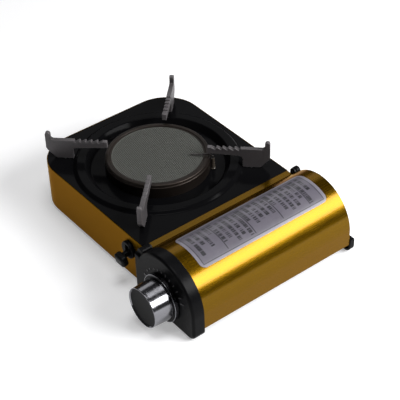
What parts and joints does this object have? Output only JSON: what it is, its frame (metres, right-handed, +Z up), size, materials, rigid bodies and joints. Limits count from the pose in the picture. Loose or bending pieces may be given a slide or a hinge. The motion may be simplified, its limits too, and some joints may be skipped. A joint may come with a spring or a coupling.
{
  "type": "butane cassette stove",
  "caption": "Compact single-burner butane cassette stove with a ceramic radiant burner, folding pan arms and a hinged barrel cover over the gas canister bay.",
  "frame": {"origin": "middle of the whole object's footprint, on the surface that it stands on", "axes": "+X from the burner to the canister bay, +Y from the knob to the back, +Z up"},
  "size_m": [0.2992, 0.238, 0.0887],
  "materials": {
    "gold_sheet": "anodised gold, brushed lengthways",
    "base_sheet": "black painted steel sheet",
    "black_enamel": "glossy black enamel",
    "plain_sheet": "plain pressed steel",
    "fibre": "pressed ceramic fibre",
    "ceramic": "unglazed honeycomb ceramic",
    "heat_tinted_steel": "steel, tinted brown by heat",
    "brass": "turned brass",
    "copper_pipe": "drawn copper pipe",
    "die_casting": "bead-blasted die casting",
    "seal_rubber": "black rubber",
    "white_plastic": "ivory moulded plastic",
    "lead_insulation": "silicone lead insulation",
    "white_glaze": "glazed white ceramic",
    "wire": "oxidised wire",
    "black_plastic": "black moulded plastic, satin",
    "magnet": "plated magnet plate",
    "label_film": "silver-grey label film",
    "chrome": "bright chrome plating",
    "knob_face": "dark grey moulded disc",
    "grey_paint": "grey heat-proof paint"
  },
  "bodies": {
    "stove": {"base_pan": "base_sheet", "side_shell": "gold_sheet", "partition_wall": "gold_sheet", "top_plate": "black_enamel", "heat_shield": "plain_sheet", "burner_cup": "plain_sheet", "mixing_tube": "plain_sheet", "burner_gasket": "fibre", "ceramic_plate": "ceramic", "burner_ring": "heat_tinted_steel", "gas_jet": "brass", "gas_pipe": "copper_pipe", "regulator_body": "die_casting", "diaphragm_cap": "plain_sheet", "inlet_flange": "plain_sheet", "inlet_seal": "seal_rubber", "piezo_igniter": "white_plastic", "igniter_lead": "lead_insulation", "spark_electrode": "white_glaze", "electrode_wire": "wire", "front_cap": "black_plastic", "dial_marks": "black_plastic", "rear_cap": "black_plastic", "canister_cradle": "plain_sheet", "canister_magnet": "magnet", "hinge_pins": "plain_sheet", "rubber_feet": "seal_rubber", "case_screws": "plain_sheet", "support_rivets": "plain_sheet", "lever_bezel": "black_plastic", "lever_bracket": "plain_sheet", "lever_pin": "plain_sheet", "rod_guides": "plain_sheet"},
    "cover": {"cylinder_cover": "gold_sheet", "cover_brackets": "plain_sheet", "cover_label": "label_film"},
    "knob": {"knob_core": "black_plastic", "knob_shell": "chrome", "knob_face": "knob_face", "knob_ring": "chrome", "valve_spindle": "plain_sheet"},
    "lever": {"lock_lever": "black_plastic"},
    "pusher": {"pusher_rod": "plain_sheet", "canister_pusher": "plain_sheet"},
    "support_1": {"pan_support_1": "grey_paint"},
    "support_2": {"pan_support_2": "grey_paint"},
    "support_3": {"pan_support_3": "grey_paint"},
    "support_4": {"pan_support_4": "grey_paint"}
  },
  "joints": [
    {"name": "cover_hinge", "type": "hinge", "parent": "stove", "child": "cover", "pos_m": [0.061, 0.0135, 0.0572], "axis": [0, -1, 0], "range_deg": [0, 80]},
    {"name": "knob_turn", "type": "hinge", "parent": "stove", "child": "knob", "pos_m": [0.1019, -0.0825, 0.0295], "axis": [0, -1, 0], "range_deg": [0, 100]},
    {"name": "lever_lift", "type": "hinge", "parent": "stove", "child": "lever", "pos_m": [0.0324, -0.0685, 0.039], "axis": [-1, 0, 0], "range_deg": [0, 22]},
    {"name": "pusher_slide", "type": "slide", "parent": "stove", "child": "pusher", "axis": [0, 1, 0], "range_m": [0, 0.0042]},
    {"name": "support_1_swing", "type": "hinge", "parent": "stove", "child": "support_1", "pos_m": [0.02381, 0.08492, 0.056], "axis": [0, 0, 1], "range_deg": [-45, 45]},
    {"name": "support_2_swing", "type": "hinge", "parent": "stove", "child": "support_2", "pos_m": [-0.11902, 0.08492, 0.056], "axis": [0, 0, 1], "range_deg": [-45, 45]},
    {"name": "support_3_swing", "type": "hinge", "parent": "stove", "child": "support_3", "pos_m": [-0.11902, -0.05792, 0.056], "axis": [0, 0, 1], "range_deg": [-45, 45]},
    {"name": "support_4_swing", "type": "hinge", "parent": "stove", "child": "support_4", "pos_m": [0.02381, -0.05792, 0.056], "axis": [0, 0, 1], "range_deg": [-45, 45]}
  ],
  "couplings": [
    {"joint": "lever_lift", "follows": "pusher_slide", "rad_per_m": 91.426}
  ]
}
